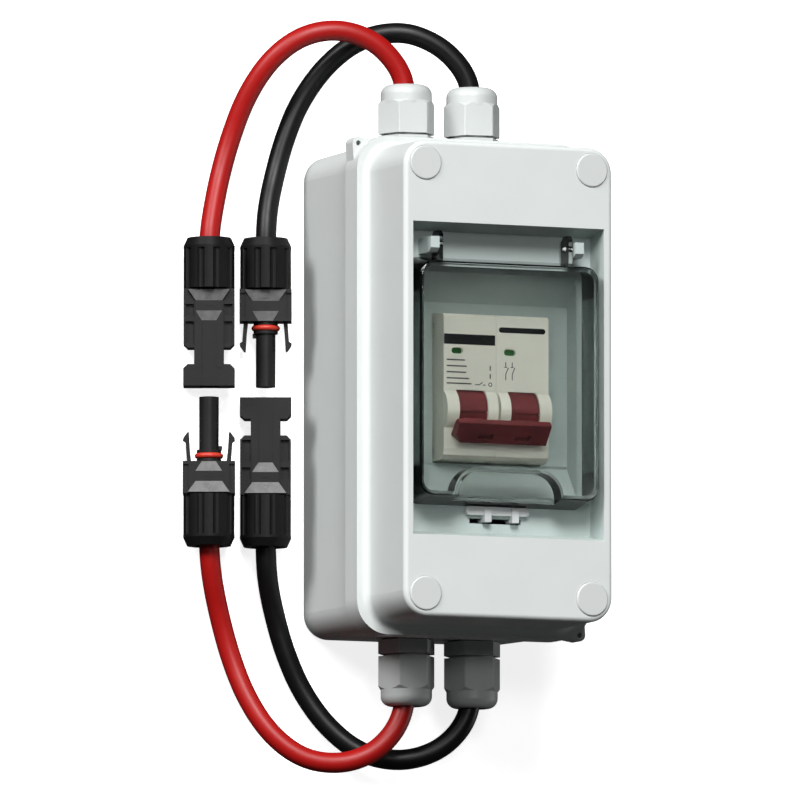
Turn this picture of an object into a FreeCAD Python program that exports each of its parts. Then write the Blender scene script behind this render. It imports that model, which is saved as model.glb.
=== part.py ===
"""DC combiner box: a small wall enclosure with a two-pole breaker behind a
hinged window, four cable glands and four short photovoltaic leads.

Frame, in millimetres: the box lies on its back.  +X is to the right of a
person facing the door, +Y runs up the wall and +Z points out of the lid.
The origin is the centre of the flat back.
"""
import math
import os
import re

import FreeCAD
import Part
import Sketcher

Vector = FreeCAD.Vector
X_AXIS = Vector(1, 0, 0)
Y_AXIS = Vector(0, 1, 0)
Z_AXIS = Vector(0, 0, 1)

DIMENSIONS = {
    # enclosure outline
    "base_width": 71.2, "base_height": 151.2, "base_corner": 8.0, "draft": 1.08,
    "rim_width": 79.2, "rim_height": 155.0, "rim_corner": 10.5,
    "rim_low": 42.5, "split_level": 48.0, "flange_top": 51.5,
    "lid_width": 71.6, "lid_height": 148.6, "lid_corner": 8.4, "lid_face": 78.0,
    "wall": 2.2, "floor": 2.4, "edge_round": 1.5,
    # recess in the lid and the tray in it
    "recess_half_width": 32.4, "recess_half_height": 48.5, "ledge": 67.5, "ledge_half_height": 46.6,
    "tray_half_width": 27.5, "tray_top": 34.0, "tray_bottom": -35.0,
    "tray_floor": 60.4, "tray_floor_half": 25.3, "tray_wall": 1.6,
    "cutout_half_width": 18.3, "cutout_half_height": 23.2, "breaker_middle": -1.4,
    # lid screws, caps and posts
    "screw_x": 28.2, "screw_y": 66.7, "post_radius": 5.2, "cap_radius": 5.3,
    "screw_radius": 1.9, "head_radius": 3.5, "head_seat": 54.0, "cap_gap": 0.08, "cap_rise": 0.5,
    "cap_depth": 1.8,
    # wall fixing and sealing holes
    "wall_hole_x": 24.0, "wall_hole_y": 52.0, "wall_hole_radius": 2.2,
    "ear_x": 37.6, "ear_y": 75.3, "ear_radius": 2.0, "seal_hole_radius": 0.8,
    # door
    "door_half_width": 30.6, "door_half_height": 38.4, "door_low": 67.9,
    "door_front_half_width": 30.3, "door_front_half_height": 36.3,
    "door_front": 79.0, "door_wall": 1.5, "door_corner": 4.5,
    "hinge_y": 42.2, "hinge_z": 73.0, "hinge_radius": 0.8,
    "arm_x": 22.0, "arm_thick": 1.4, "lug_x": 24.5, "lug_width": 2.9, "pin_inner": 21.6,
    "pin_outer": 25.4, "catch_y": -39.8, "catch_half": 9.4, "catch_round": 1.3,
    "grip_half_width": 17.3, "grip_top": -28.2, "grip_corner": 7.6, "grip_floor": 73.5,
    # rail and breaker
    "rail_back": 2.4, "rail_depth": 7.5, "rail_half": 17.5, "rail_half_length": 30.0,
    "rail_web_half": 13.5, "rail_sheet": 1.0, "rail_screw_x": 24.0,
    "pole_width": 17.8, "pole_gap": 0.05, "case_wall": 1.3,
    "case_top": 38.6, "case_bottom": -41.4, "shoulder": 53.9,
    "nose_top": 21.3, "nose_bottom": -24.1, "nose_front": 67.8,
    "pivot_y": -8.5, "pivot_z": 63.8, "cheek_radius": 7.0, "cheek_width": 3.9,
    "cheek_gap": 0.45, "hub_radius": 6.7, "pin_radius": 1.2, "bar_half": 15.6,
    "terminal_y": 31.5, "terminal_z": 33.0, "window_y": 9.8, "window_half": 1.0, "window_round": 0.95,
    "contact_y": -8.5, "contact_z": 50.0, "rivet_radius": 1.3,
    # glands
    "gland_x": 11.2, "gland_z": 25.2, "pad_face": 76.4, "pad_inner": 73.6, "pad_radius": 9.3,
    "collar_start": 76.9, "collar_end": 80.6, "nut_start": 81.3, "nut_end": 92.0,
    "dome_end": 96.8, "low_shift": 0.7, "hex_flats": 15.8, "hex_spin": 52.0,
    "dome_radius": 8.0, "mouth_radius": 4.7, "thread_radius": 6.0, "bore_radius": 3.4,
    # cables and connectors
    "cable_radius": 3.2,
    "plug_z": 8.0, "plug_red_x": -70.7, "plug_black_x": -51.5,
    "top_red_y": 48.0, "top_black_y": 48.6, "low_red_y": -48.2, "low_black_y": -47.9,
    "plug_roll": -24.0, "plug_nut_length": 15.9, "plug_nut_radius": 8.0, "plug_length": 46.5,
    "plug_tube_radius": 3.05, "plug_cable_end": 6.5,
    "ramp_high": 5.75, "band_high": 5.0, "groove_floor": 4.45,
    "ramp_wide": 6.5, "band_wide": 4.1, "groove_wide": 2.3,
}

doc = FreeCAD.newDocument("combiner_box")
sheet = doc.addObject("Spreadsheet::Sheet", "Dims")
for row, (alias, value) in enumerate(DIMENSIONS.items(), start=1):
    sheet.set(f"A{row}", alias)
    sheet.set(f"B{row}", str(value))
    sheet.setAlias(f"B{row}", alias)
doc.recompute()

nodes = {}
counter = {"helper": 0}


# ---------------------------------------------------------------- helpers
def bind(thing, prop, value):
    """Bind a property to a formula in sheet words, or set a plain number."""
    formula = str(value)

    def with_sheet(match):
        word = match.group(0)
        return "Dims." + word if word in DIMENSIONS else word

    thing.setExpression(prop, re.sub(r"[a-z_]+", with_sheet, formula))


def helper_name(kind):
    counter["helper"] += 1
    return f"{kind}_{counter['helper']}"


def place(thing, at):
    for axis, value in zip("xyz", at):
        bind(thing, f".Placement.Base.{axis}", value)


def block(low, high):
    """Box between two corners; each corner is three formulas."""
    box = doc.addObject("Part::Box", helper_name("block"))
    for prop, first, last in zip(("Length", "Width", "Height"), low, high):
        bind(box, prop, f"({last}) - ({first})")
    place(box, low)
    return box


TURNS = {
    "x": FreeCAD.Rotation(Y_AXIS, 90),
    "y": FreeCAD.Rotation(X_AXIS, -90),
    "z": FreeCAD.Rotation(),
}


def along(axis, centre, start):
    """Point with the two cross coordinates in centre and start on the axis."""
    at = list(centre)
    at.insert("xyz".index(axis), start)
    return at


def rod(axis, centre, radius, start, end):
    """Cylinder along an axis; centre holds the two other coordinates."""
    cylinder = doc.addObject("Part::Cylinder", helper_name("rod"))
    cylinder.Placement = FreeCAD.Placement(Vector(), TURNS[axis])
    bind(cylinder, "Radius", radius)
    bind(cylinder, "Height", f"({end}) - ({start})")
    place(cylinder, along(axis, centre, start))
    return cylinder


def cone(axis, centre, first_radius, last_radius, start, end):
    taper = doc.addObject("Part::Cone", helper_name("cone"))
    taper.Placement = FreeCAD.Placement(Vector(), TURNS[axis])
    bind(taper, "Radius1", first_radius)
    bind(taper, "Radius2", last_radius)
    bind(taper, "Height", f"({end}) - ({start})")
    place(taper, along(axis, centre, start))
    return taper


def ring(axis, centre, major, minor, level):
    torus = doc.addObject("Part::Torus", helper_name("ring"))
    torus.Placement = FreeCAD.Placement(Vector(), TURNS[axis])
    bind(torus, "Radius1", major)
    bind(torus, "Radius2", minor)
    place(torus, along(axis, centre, level))
    return torus


def hexagon(centre, flats, start, end, spin):
    """Hexagonal prism along Y, turned by spin degrees about its axis."""
    prism = doc.addObject("Part::Prism", helper_name("hexagon"))
    prism.Polygon = 6
    degrees = DIMENSIONS.get(spin, spin)
    turn = TURNS["y"].multiply(FreeCAD.Rotation(Z_AXIS, degrees))
    prism.Placement = FreeCAD.Placement(Vector(), turn)
    bind(prism, "Circumradius", f"({flats}) / sqrt(3)")
    bind(prism, "Height", f"({end}) - ({start})")
    place(prism, along("y", centre, start))
    return prism


def fuse(*parts):
    joined = doc.addObject("Part::MultiFuse", helper_name("fuse"))
    joined.Shapes = list(parts)
    joined.Refine = True
    return joined


def group(*parts):
    """Several separate solids that are one node."""
    together = doc.addObject("Part::Compound", helper_name("group"))
    together.Links = list(parts)
    return together


def cut(base, *tools):
    result = doc.addObject("Part::Cut", helper_name("cut"))
    result.Base = base
    result.Tool = tools[0] if len(tools) == 1 else fuse(*tools)
    result.Refine = True
    return result


def common(first, second):
    shared = doc.addObject("Part::MultiCommon", helper_name("common"))
    shared.Shapes = [first, second]
    return shared


def origin_plane(body, role):
    return next(item for item in body.Origin.OriginFeatures if item.Role == role)


def add_loop(sketch, points):
    """Closed run of straight lines, each corner joined to the next."""
    last = len(points)
    for index in range(last):
        start = points[index]
        end = points[(index + 1) % last]
        sketch.addGeometry(Part.LineSegment(Vector(*start, 0), Vector(*end, 0)))
    for index in range(last):
        join = Sketcher.Constraint("Coincident", index, 2, (index + 1) % last, 1)
        sketch.addConstraint(join)


def rounded_sketch(sketch, width, height, radius):
    """Centred rectangle with round corners, held by dimensions in sheet words."""
    half_w = value_of(width) / 2
    half_h = value_of(height) / 2
    round_r = value_of(radius)
    corners = [(half_w, half_h, 0), (-half_w, half_h, 90),
               (-half_w, -half_h, 180), (half_w, -half_h, 270)]
    for x, y, start in corners:
        centre = Vector(x - math.copysign(round_r, x), y - math.copysign(round_r, y), 0)
        circle = Part.Circle(centre, Z_AXIS, round_r)
        arc = Part.ArcOfCircle(circle, math.radians(start), math.radians(start + 90))
        sketch.addGeometry(arc)
    for index in range(4):
        first = sketch.Geometry[index].EndPoint
        second = sketch.Geometry[(index + 1) % 4].StartPoint
        sketch.addGeometry(Part.LineSegment(first, second))
    for index in range(4):
        sketch.addConstraint(Sketcher.Constraint("Tangent", index, 2, index + 4, 1))
        sketch.addConstraint(Sketcher.Constraint("Tangent", index + 4, 2, (index + 1) % 4, 1))
    for line in (4, 6):
        sketch.addConstraint(Sketcher.Constraint("Horizontal", line))
    for line in (5, 7):
        sketch.addConstraint(Sketcher.Constraint("Vertical", line))
    for index in (1, 2):
        sketch.addConstraint(Sketcher.Constraint("Equal", 0, index))
    sketch.addConstraint(Sketcher.Constraint("Symmetric", 0, 3, 2, 3, -1, 1))
    named = (("Radius", (0, round_r), radius, "round"),
             ("Distance", (4, 2 * (half_w - round_r)), f"({width}) - 2 * ({radius})", "straight_x"),
             ("Distance", (5, 2 * (half_h - round_r)), f"({height}) - 2 * ({radius})", "straight_y"))
    for kind, values, formula, label in named:
        index = sketch.addConstraint(Sketcher.Constraint(kind, *values))
        sketch.renameConstraint(index, label)
        bind(sketch, f"Constraints.{label}", formula)


def value_of(formula):
    """Present value of a formula in sheet words."""
    return float(sheet.evalExpression(str(formula)))


def rounded_block(width, height, radius, low, high, taper=0, at=(0, 0)):
    """Padded rounded rectangle from low to high; taper leans its walls outward."""
    body = doc.addObject("PartDesign::Body", helper_name("body"))
    sketch = body.newObject("Sketcher::SketchObject", helper_name("outline"))
    sketch.AttachmentSupport = [(origin_plane(body, "XY_Plane"), "")]
    sketch.MapMode = "FlatFace"
    rounded_sketch(sketch, width, height, radius)
    pad = body.newObject("PartDesign::Pad", helper_name("pad"))
    pad.Profile = sketch
    bind(pad, "Length", f"({high}) - ({low})")
    if taper:
        bind(pad, "TaperAngle", taper)
    body.Tip = pad
    place(body, (at[0], at[1], low))
    return body


def rounded_loft(first, last):
    """Loft between two rounded rectangles (width, height, radius, level)."""
    sections = []
    for width, height, radius, level in (first, last):
        sketch = doc.addObject("Sketcher::SketchObject", helper_name("section"))
        rounded_sketch(sketch, width, height, radius)
        place(sketch, (0, 0, level))
        sections.append(sketch)
    loft = doc.addObject("Part::Loft", helper_name("loft"))
    loft.Sections = sections
    loft.Solid = True
    loft.Ruled = True
    return loft


PROFILE_TURNS = {
    "x": FreeCAD.Rotation(Vector(1, 1, 1), 120),
    "y": FreeCAD.Rotation(X_AXIS, 90),
    "z": FreeCAD.Rotation(),
}


def prism(axis, points, start, end):
    """Straight-sided outline pushed along an axis.

    For "x" the points are (y, z), for "z" they are (x, y).
    """
    sketch = doc.addObject("Sketcher::SketchObject", helper_name("profile"))
    add_loop(sketch, points)
    sketch.Placement = FreeCAD.Placement(Vector(), PROFILE_TURNS[axis])
    bind(sketch, f".Placement.Base.{axis}", start)
    push = doc.addObject("Part::Extrusion", helper_name("push"))
    push.Base = sketch
    push.DirMode = "Normal"
    push.Solid = True
    bind(push, "LengthFwd", f"({end}) - ({start})")
    return push


def rounded_edges(base, radius, chosen):
    """Fillet the edges of base for which chosen(edge) is true."""
    doc.recompute()
    wanted = [number for number, edge in enumerate(base.Shape.Edges, start=1) if chosen(edge)]
    if not wanted:
        raise ValueError("no edge to round on " + base.Name)
    fillet = doc.addObject("Part::Fillet", helper_name("fillet"))
    fillet.Base = base
    fillet.Edges = [(number, radius, radius) for number in wanted]
    return fillet


def flat_at(edge, level, axis="z"):
    low = getattr(edge.BoundBox, axis.upper() + "Min")
    high = getattr(edge.BoundBox, axis.upper() + "Max")
    return abs(low - level) < 1e-3 and abs(high - level) < 1e-3


def in_corner(edge, level, rim):
    """True for the hollow edge where a wall meets the wider rim at a level."""
    size = edge.BoundBox
    inside_x = max(abs(size.XMin), abs(size.XMax)) < DIMENSIONS[rim] / 2 - 2
    inside_y = max(abs(size.YMin), abs(size.YMax)) < DIMENSIONS["rim_height"] / 2 - 0.8
    return flat_at(edge, DIMENSIONS[level]) and inside_x and inside_y


def node(name, thing):
    thing.Label = name
    nodes[name] = thing
    return thing


def both_sides(maker):
    return [maker(side) for side in (-1, 1)]


def all_rods(axis, centres, radius, start, end):
    """Equal parallel cylinders, one on each centre."""
    return [rod(axis, centre, radius, start, end) for centre in centres]


def span_out(side, first, last):
    """Low and high formulas of a span measured out from the middle to one side."""
    near, far = f"{side} * ({first})", f"{side} * ({last})"
    return (near, far) if side > 0 else (far, near)


def four_corners(maker):
    return [maker(sx, sy) for sx in (-1, 1) for sy in (-1, 1)]


def at_screw(sx, sy):
    return f"{sx} * screw_x", f"{sy} * screw_y"


SCREW_CENTRES = four_corners(at_screw)
WALL_HOLE_CENTRES = four_corners(lambda sx, sy: (f"{sx} * wall_hole_x", f"{sy} * wall_hole_y"))
RAIL_SCREW_CENTRES = both_sides(lambda side: (f"{side} * rail_screw_x", "breaker_middle"))
GLAND_CENTRES = both_sides(lambda side: (f"{side} * gland_x", "gland_z"))
EAR_CENTRES = both_sides(lambda side: (f"{side} * ear_x", f"{-side} * ear_y"))


# ---------------------------------------------------------------- enclosure
def make_ear(side):
    """Sealing ear on a rim corner: a triangular web that ends in a round eye."""
    x, y = side * DIMENSIONS["ear_x"], -side * DIMENSIONS["ear_y"]
    outline = [(0, 2.0), (-9.0, 0.6), (-9.0, -9.0), (1.4, -8.0), (2.0, 0)]
    web = prism("z", [(x + side * dx, y - side * dy) for dx, dy in outline], "rim_low", "split_level")
    eye = rod("z", (x, y), "ear_radius", "rim_low", "split_level")
    return fuse(web, eye)


def make_gland_pads(first, last):
    """Round pads for the glands, at both ends of the base."""
    return [rod("y", centre, "pad_radius", *span_out(end, first, last))
            for centre in GLAND_CENTRES for end in (-1, 1)]


def make_base():
    """Base shell: leaning walls, a wide rim, screw posts and every hole in it."""
    body = rounded_block("base_width", "base_height", "base_corner", 0, "rim_low", "draft")
    rim = rounded_block("rim_width", "rim_height", "rim_corner", "rim_low", "split_level")
    shell = rounded_edges(fuse(body, rim), 0.9, lambda edge: in_corner(edge, "rim_low", "rim_width"))
    shell = fuse(shell, *make_gland_pads("pad_inner", "pad_face"), *both_sides(make_ear))
    shell = rounded_edges(shell, 1.8, lambda edge: flat_at(edge, 0))
    cavity = rounded_block("base_width - 2 * wall", "base_height - 2 * wall", "base_corner - wall",
                           "floor", "split_level + 1", "draft")
    shell = cut(shell, cut(cavity, *make_gland_pads("pad_inner", "pad_inner + 1.2")))
    posts = all_rods("z", SCREW_CENTRES, "post_radius - 0.7", 1, "rim_low + 1.5")
    holes = [
        *all_rods("z", SCREW_CENTRES, "screw_radius + 0.05", 20, "split_level"),
        *all_rods("z", WALL_HOLE_CENTRES, "wall_hole_radius", -1, "floor + 1"),
        *all_rods("y", GLAND_CENTRES, "thread_radius + 0.1", "-pad_face - 1", "pad_face + 1"),
        *all_rods("z", EAR_CENTRES, "seal_hole_radius", "rim_low - 1", "split_level + 1"),
        *all_rods("z", RAIL_SCREW_CENTRES, 1.55, 0.6, "floor + 1"),
    ]
    return cut(fuse(shell, *posts), *holes, make_gasket())


def make_cover():
    """Cover shell: flange, dome, recess with its tray, hinge lugs and screw wells."""
    flange = rounded_block("rim_width", "rim_height", "rim_corner", "split_level", "flange_top")
    dome = rounded_block("lid_width", "lid_height", "lid_corner", "flange_top - 0.5", "lid_face", "-draft")
    outside = rounded_edges(fuse(flange, dome), 2.0, lambda edge: in_corner(edge, "flange_top", "rim_width"))
    outside = rounded_edges(outside, DIMENSIONS["edge_round"],
                            lambda edge: flat_at(edge, DIMENSIONS["lid_face"]))
    ceiling = "lid_face - 2.4"
    hollow = rounded_block("lid_width - 2 * wall", "lid_height - 2 * wall", "lid_corner - wall",
                           "split_level - 1", ceiling, "-draft")
    recess_tub = block(("-recess_half_width - 2", "-recess_half_height - 2", "ledge - 2.2"),
                       ("recess_half_width + 2", "recess_half_height + 2", "lid_face - 1"))
    posts = all_rods("z", SCREW_CENTRES, "post_radius", "split_level + 0.6", ceiling)
    shell = fuse(cut(outside, hollow), common(recess_tub, outside), tray_solid("tray_wall"), *posts)
    opening = block(("-cutout_half_width", "breaker_middle - cutout_half_height", "tray_floor - 3"),
                    ("cutout_half_width", "breaker_middle + cutout_half_height", "tray_floor + 1"))
    catch_slot = block((-8.7, "catch_y - 3.8", "ledge - 3"), (8.7, "catch_y - 2.2", "ledge + 1"))
    grooves = [block((f"{x} - 4.2", -25.0, "tray_floor - 0.4"), (f"{x} + 4.2", -24.5, "tray_floor + 1"))
               for x in (-22.9, 22.9)]
    wells = [
        *all_rods("z", SCREW_CENTRES, "head_radius + 0.4", "head_seat", "lid_face + 1"),
        *all_rods("z", SCREW_CENTRES, "cap_radius + cap_gap", "lid_face - cap_depth", "lid_face + 1"),
        *all_rods("z", SCREW_CENTRES, "screw_radius + 0.3", "split_level", "head_seat + 1"),
    ]
    shell = cut(shell, make_recess(), tray_solid(0), opening, catch_slot, *grooves, *wells)
    pin_holes = both_sides(lambda side: rod("x", ("hinge_y", "hinge_z"), "hinge_radius",
                                            f"{side} * 24.4 - 1.5", f"{side} * 24.4 + 1.5"))
    return cut(fuse(shell, *both_sides(make_lug)), *pin_holes)


def make_recess():
    """Hollow for the door; its top and bottom walls lean outward."""
    size = DIMENSIONS
    outer = size["recess_half_height"]
    inner = size["ledge_half_height"]
    above = outer + (outer - inner) / (size["lid_face"] - size["ledge"])
    points = [(-inner, size["ledge"]), (inner, size["ledge"]), (above, size["lid_face"] + 1),
              (-above, size["lid_face"] + 1)]
    return prism("x", points, "-recess_half_width", "recess_half_width")


def tray_solid(extra):
    """Boat-shaped tray: straight sides, ends that slope down to its floor."""
    size = DIMENSIONS
    grow = size["tray_wall"] if extra else 0
    deep = size["tray_floor"] - grow
    top = size["ledge"] - 0.5 if extra else size["ledge"] + 0.01
    points = [(-size["tray_floor_half"] - grow, deep), (size["tray_floor_half"] + grow, deep),
              (size["tray_top"] + grow, top), (size["tray_bottom"] - grow, top)]
    return prism("x", points, f"-tray_half_width - ({extra})", f"tray_half_width + ({extra})")


def make_lug(side):
    """Hinge lug on the ledge, with a slanted tip."""
    inner = f"{side} * lug_x - lug_width / 2"
    outer = f"{side} * lug_x + lug_width / 2"
    points = [(39.3, 66.5), (44.1, 66.5), (44.1, 77.0), (40.6, 77.0), (39.3, 75.4)]
    return prism("x", points, inner, outer)


def make_gasket():
    """Flat ring that fills the groove in the rim, flush with the split."""
    outer = rounded_block("rim_width - 4.4", "rim_height - 4.4", "rim_corner - 2.2",
                          "split_level - 1.2", "split_level")
    inner = rounded_block("rim_width - 6.8", "rim_height - 6.8", "rim_corner - 3.4",
                          "split_level - 2", "split_level + 1")
    return cut(outer, inner)


def bar_at(centre, half_x, half_y, low, high):
    """Block centred on a point, used for driver slots."""
    x, y = centre
    return block((f"({x}) - {half_x}", f"({y}) - {half_y}", low),
                 (f"({x}) + {half_x}", f"({y}) + {half_y}", high))


def make_lid_screw(sx, sy):
    """Cross-head screw that clamps the cover to a post of the base."""
    centre = at_screw(sx, sy)
    head = rod("z", centre, "head_radius", "head_seat", "head_seat + 2.8")
    shank = rod("z", centre, "screw_radius", 30, "head_seat")
    cross = [bar_at(centre, long, wide, "head_seat + 1", "head_seat + 4")
             for long, wide in ((2.2, 0.5), (0.5, 2.2))]
    return cut(fuse(head, shank), *cross)


def make_cap(sx, sy):
    """Push-in cap over a lid screw, standing a little proud of the lid."""
    centre = at_screw(sx, sy)
    rise = DIMENSIONS["cap_rise"]
    disc = rod("z", centre, "cap_radius", "lid_face - cap_depth", "lid_face + cap_rise")
    disc = rounded_edges(disc, rise, lambda edge: flat_at(edge, DIMENSIONS["lid_face"] + rise))
    plug = rod("z", centre, "head_radius + 0.35", "lid_face - 4.5", "lid_face - cap_depth")
    return fuse(disc, plug)


def rail_strip(first, last, low, high):
    """Length of rail sheet between two Y places measured from the breaker's middle."""
    return block(("-rail_half_length", f"breaker_middle + ({first})", low),
                 ("rail_half_length", f"breaker_middle + ({last})", high))


def make_rail():
    """Top-hat rail, 35 mm wide and 7.5 mm deep."""
    top = "rail_back + rail_depth"
    web = rail_strip("-rail_web_half", "rail_web_half", "rail_back", "rail_back + rail_sheet")
    walls = [rail_strip(first, last, "rail_back", top)
             for first, last in (("-rail_web_half", "rail_sheet - rail_web_half"),
                                 ("rail_web_half - rail_sheet", "rail_web_half"))]
    flanges = [rail_strip(first, last, f"{top} - rail_sheet", top)
               for first, last in (("-rail_half", "rail_sheet - rail_web_half"),
                                   ("rail_web_half - rail_sheet", "rail_half"))]
    return cut(fuse(web, *walls, *flanges), *all_rods("z", RAIL_SCREW_CENTRES, 1.7, 0, "rail_back + 2"))


def make_rail_screw(centre):
    """Slotted screw that holds the rail to the base."""
    head = rod("z", centre, 3.4, "rail_back + rail_sheet", "rail_back + 3.2")
    shank = rod("z", centre, 1.5, 0.7, "rail_back + rail_sheet")
    return cut(fuse(head, shank), bar_at(centre, 4, 0.4, "rail_back + 2.2", "rail_back + 4"))


# ---------------------------------------------------------------- door
def make_door():
    """Clear door: a shallow tub with hinge arms above and a finger pull below."""
    outer = rounded_loft(("2 * door_half_width", "2 * door_half_height", "door_corner", "door_low"),
                         ("2 * door_front_half_width", "2 * door_front_half_height", "door_corner",
                          "door_front"))
    outer = rounded_edges(outer, 0.9, lambda edge: flat_at(edge, DIMENSIONS["door_front"]))
    inner = rounded_loft(("2 * (door_half_width - door_wall)", "2 * (door_half_height - door_wall) + 0.4",
                          "door_corner - door_wall", "door_low - 1"),
                         ("2 * (door_front_half_width - door_wall)",
                          "2 * (door_front_half_height - door_wall)",
                          "door_corner - door_wall", "door_front - door_wall"))
    grip_wall = common(make_grip(1.3), outer)
    grip = make_grip(0)
    arms = both_sides(make_arm)
    holes = both_sides(lambda side: rod("x", ("hinge_y", "hinge_z"), "hinge_radius + 0.08",
                                        f"{side} * arm_x - 1.5", f"{side} * arm_x + 1.5"))
    return cut(fuse(cut(outer, inner), grip_wall, *arms), grip, *holes)


def make_grip(wall):
    """Finger pull cut into the door's lower edge: an arch with a flat top."""
    return rounded_block(f"2 * (grip_half_width + {wall})", f"24 + 2 * {wall}", f"grip_corner + {wall}",
                         f"grip_floor - {wall}", "door_front + 1", at=(0, "grip_top - 12"))


def make_arm(side):
    """Hinge arm of the door, ending in an eye with a flat, chamfered nose."""
    points = [(36.6, 70.2), (44.6, 70.2), (46.2, 71.6), (46.2, 74.6), (45.0, 75.8), (35.6, 75.8)]
    return prism("x", points, f"{side} * arm_x - arm_thick / 2", f"{side} * arm_x + arm_thick / 2")


def make_hinge_pin(side):
    """Moulded pin that snaps into a door arm; its tip is a short cone."""
    shank_span = span_out(side, "pin_inner", "pin_outer")
    tip_span = span_out(side, "pin_inner - 1", "pin_inner")
    radii = (0.35, "hinge_radius") if side > 0 else ("hinge_radius", 0.35)
    shank = rod("x", ("hinge_y", "hinge_z"), "hinge_radius", *shank_span)
    return fuse(shank, cone("x", ("hinge_y", "hinge_z"), *radii, *tip_span))


CATCH_PRONGS = (-3.55, 5.8)


def make_catch():
    """Spring catch on the ledge under the door: a round-ended bar on two prongs."""
    ends = both_sides(lambda side: rod("z", (f"{side} * catch_half", "catch_y"), "catch_round",
                                       "ledge", "ledge + 2"))
    bar = fuse(block(("-catch_half", "catch_y - catch_round", "ledge"),
                     ("catch_half", "catch_y + catch_round", "ledge + 2")), *ends)
    prongs = [block((x - 1.15, "catch_y - 3.4", "ledge"), (x + 1.15, "catch_y + 0.9", "ledge + 2.6"))
              for x in CATCH_PRONGS]
    hooks = [block((x - 1.15, "catch_y - 3.4", "ledge - 2.6"), (x + 1.15, "catch_y - 2.5", "ledge + 1"))
             for x in CATCH_PRONGS]
    return fuse(bar, *prongs, *hooks)


# ---------------------------------------------------------------- breaker
PIVOT = ("pivot_y", "pivot_z")


def case_outline():
    """Side outline of a pole's case: rail notch, shoulders and round-edged nose."""
    size = DIMENSIONS
    bottom, top = size["case_bottom"], size["case_top"]
    shoulder, front = size["shoulder"], size["nose_front"]
    nose_low, nose_high = size["nose_bottom"], size["nose_top"]
    back = [(bottom, 12.0), (-19.4, 12.0), (-19.4, 10.0), (16.5, 10.0), (16.5, 8.6), (15.0, 8.6),
            (15.0, 5.4), (22.0, 5.4), (22.0, 12.0), (top, 12.0)]
    nose = [(nose_high, shoulder), (nose_high, front - 0.8), (nose_high - 0.8, front),
            (nose_low + 3.4, front), (nose_low + 1.5, front - 0.5), (nose_low + 0.4, front - 1.7),
            (nose_low, front - 3.4), (nose_low, shoulder)]
    return [*back, (top, shoulder), *nose, (bottom, shoulder)]


def make_case(side):
    """One pole's moulded case, hollow, with cheeks beside its toggle."""
    outside = prism("x", case_outline(), *span_out(side, "pole_gap", "pole_width"))
    outer_cheek = "pole_width - cheek_width - 0.3"
    cheek_spans = [span_out(side, "cheek_gap", "cheek_width"),
                   span_out(side, outer_cheek, "pole_width - 0.05")]
    cheeks = [rod("x", PIVOT, "cheek_radius", *span) for span in cheek_spans]
    cheek_backs = [block((start, "pivot_y - cheek_radius", "pivot_z - 4"),
                         (end, "pivot_y + cheek_radius", "nose_front - 0.1")) for start, end in cheek_spans]
    inner_low, inner_high = span_out(side, "case_wall", "pole_width - case_wall")
    main_room = block((inner_low, "case_bottom + case_wall", "12 + case_wall"),
                      (inner_high, "case_top - case_wall", "shoulder - case_wall"))
    nose_room = block((inner_low, "nose_bottom + case_wall", "shoulder - 2"),
                      (inner_high, "nose_top - case_wall", "nose_front - case_wall"))
    shell = fuse(cut(outside, main_room, nose_room), *cheeks, *cheek_backs)
    mouth = rod("x", PIVOT, "cheek_radius + 0.3", *span_out(side, "cheek_width", outer_cheek))
    middle = f"{side} * pole_width / 2"
    screw_centres = [(middle, f"breaker_middle + {end} * terminal_y") for end in (-1, 1)]
    screw_holes = all_rods("z", screw_centres, 3.0, "shoulder - 3", "shoulder + 1")
    wire_holes = rod("y", (middle, "terminal_z"), "cable_radius + 0.2", "case_bottom - 9", "case_top + 9")
    window = window_solid(side, "nose_front - 3", "nose_front + 1")
    return cut(shell, mouth, make_pivot_pin(side), *screw_holes, wire_holes, window)


def window_solid(side, low, high):
    """Round-ended state window of one pole, between two levels."""
    x = window_middle(side)
    ends = both_sides(lambda way: rod("z", (f"{x} + {way} * window_half", "window_y"), "window_round",
                                      low, high))
    middle = block((f"{x} - window_half", "window_y - window_round", low),
                   (f"{x} + window_half", "window_y + window_round", high))
    return fuse(middle, *ends)


def window_middle(side):
    """X of a pole's state window, which sits left of the pole's middle."""
    return side * DIMENSIONS["pole_width"] / 2 - 4.3


def make_toggle(side):
    """Toggle: a hub between the cheeks and a lever that carries the tie bar."""
    low, high = span_out(side, "cheek_width + 0.2", "pole_width - cheek_width - 0.5")
    hub = rod("x", PIVOT, "hub_radius", low, high)
    outline = [(-9.5, 66.0), (-12.8, 66.4), (-14.4, 68.5), (-15.2, 69.0), (-12.6, 71.4), (-11.4, 70.0),
               (-9.5, 69.0)]
    lever = prism("x", outline, *span_out(side, "cheek_width + 1.6", "pole_width - cheek_width - 1.9"))
    bore = rod("x", PIVOT, "pin_radius + 0.05", "-pole_width", "pole_width")
    crease = block((low, -9.7, 69.8), (high, -9.1, 71.0))
    return cut(fuse(hub, lever), bore, crease)


def make_tie_bar():
    """Bar across both toggles, with a slanted face, two slots and a pointed end."""
    outline = [(-13.4, 75.2), (-19.0, 70.6), (-17.6, 69.2), (-16.3, 68.6), (-12.4, 72.2), (-11.9, 73.8)]
    bar = prism("x", outline, "-bar_half", "bar_half")
    point_cut = prism("z", [(-17.0, -20.5), (-12.8, -20.5), (-14.6, -17.6), (-17.0, -15.6)], 60, 80)
    slot_outline = [(-18.6, 72.2), (-16.9, 70.1), (-15.3, 71.4), (-17.1, 73.5)]
    slots = [prism("x", slot_outline, f"{x} - 2.5", f"{x} + 2.5") for x in (-5.5, 7.1)]
    return cut(bar, point_cut, *slots)


def make_pivot_pin(side):
    return rod("x", PIVOT, "pin_radius", *span_out(side, 1, 17))


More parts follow.
